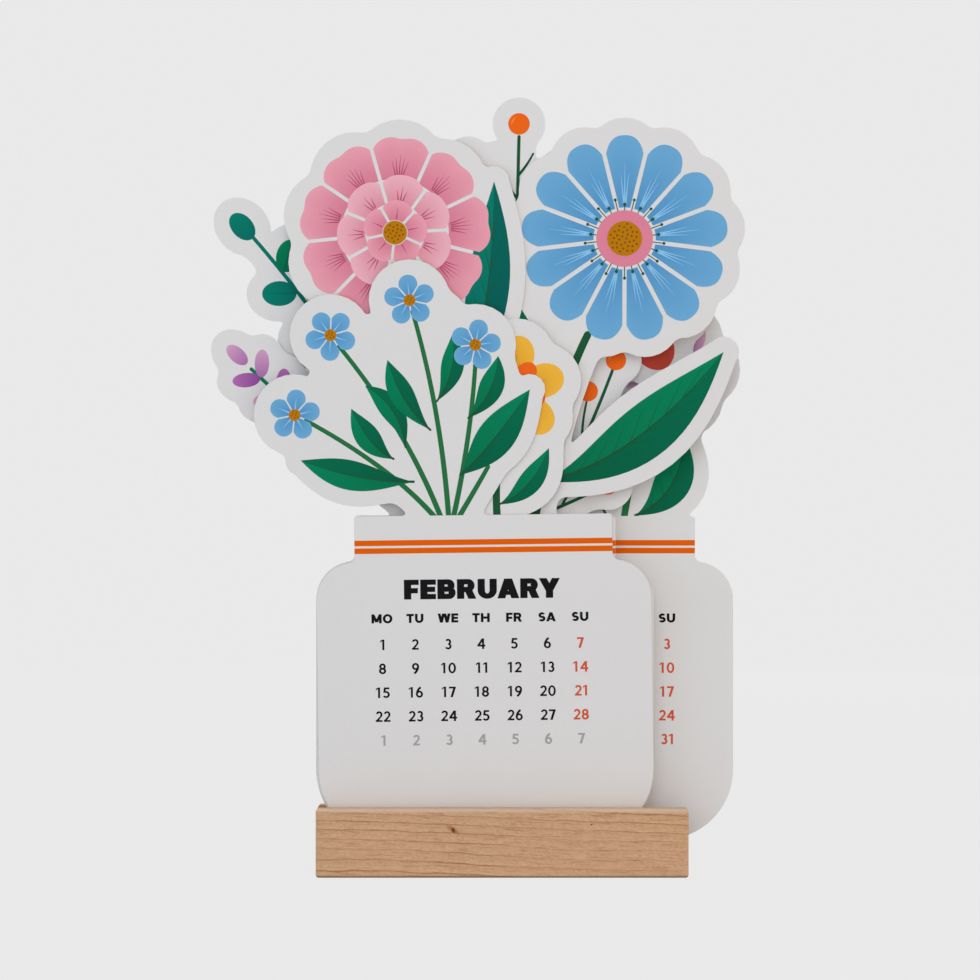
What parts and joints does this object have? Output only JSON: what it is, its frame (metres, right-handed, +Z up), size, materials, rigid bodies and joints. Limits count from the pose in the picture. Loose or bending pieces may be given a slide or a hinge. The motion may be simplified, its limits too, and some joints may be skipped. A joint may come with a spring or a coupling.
{
  "type": "desk calendar",
  "caption": "Free-standing desk calendar: slotted wooden bar holding die-cut month cards, each shaped as a vase with its own flowers; the cards lift out of the slot.",
  "frame": {"origin": "middle of the wooden bar's underside, on the surface it stands on", "axes": "+X to the right of the calendar's face, along the bar; +Y to the back; +Z up"},
  "size_m": [0.1886, 0.0298, 0.2744],
  "materials": {
    "beech": "fine-sanded, unvarnished",
    "card_stock": "matt uncoated card",
    "print": "matt printing ink on card"
  },
  "bodies": {
    "base": {"base": "beech"},
    "january": {"january_card": "card_stock"},
    "december": {"december_card": "card_stock"},
    "november": {"november_card": "card_stock"},
    "october": {"october_card": "card_stock"},
    "september": {"september_card": "card_stock"},
    "august": {"august_card": "card_stock"},
    "july": {"july_card": "card_stock"},
    "june": {"june_card": "card_stock"},
    "may": {"may_card": "card_stock"},
    "april": {"april_card": "card_stock"},
    "march": {"march_card": "card_stock"},
    "february": {"february_card": "card_stock"}
  },
  "joints": [
    {"name": "january_lift", "type": "slide", "parent": "base", "child": "january", "axis": [0, 0, 1], "range_m": [0, 0.03]},
    {"name": "december_lift", "type": "slide", "parent": "base", "child": "december", "axis": [0, 0, 1], "range_m": [0, 0.03]},
    {"name": "november_lift", "type": "slide", "parent": "base", "child": "november", "axis": [0, 0, 1], "range_m": [0, 0.03]},
    {"name": "october_lift", "type": "slide", "parent": "base", "child": "october", "axis": [0, 0, 1], "range_m": [0, 0.03]},
    {"name": "september_lift", "type": "slide", "parent": "base", "child": "september", "axis": [0, 0, 1], "range_m": [0, 0.03]},
    {"name": "august_lift", "type": "slide", "parent": "base", "child": "august", "axis": [0, 0, 1], "range_m": [0, 0.03]},
    {"name": "july_lift", "type": "slide", "parent": "base", "child": "july", "axis": [0, 0, 1], "range_m": [0, 0.03]},
    {"name": "june_lift", "type": "slide", "parent": "base", "child": "june", "axis": [0, 0, 1], "range_m": [0, 0.03]},
    {"name": "may_lift", "type": "slide", "parent": "base", "child": "may", "axis": [0, 0, 1], "range_m": [0, 0.03]},
    {"name": "april_lift", "type": "slide", "parent": "base", "child": "april", "axis": [0, 0, 1], "range_m": [0, 0.03]},
    {"name": "march_lift", "type": "slide", "parent": "base", "child": "march", "axis": [0, 0, 1], "range_m": [0, 0.03]},
    {"name": "february_lift", "type": "slide", "parent": "base", "child": "february", "axis": [0, 0, 1], "range_m": [0, 0.03]}
  ]
}
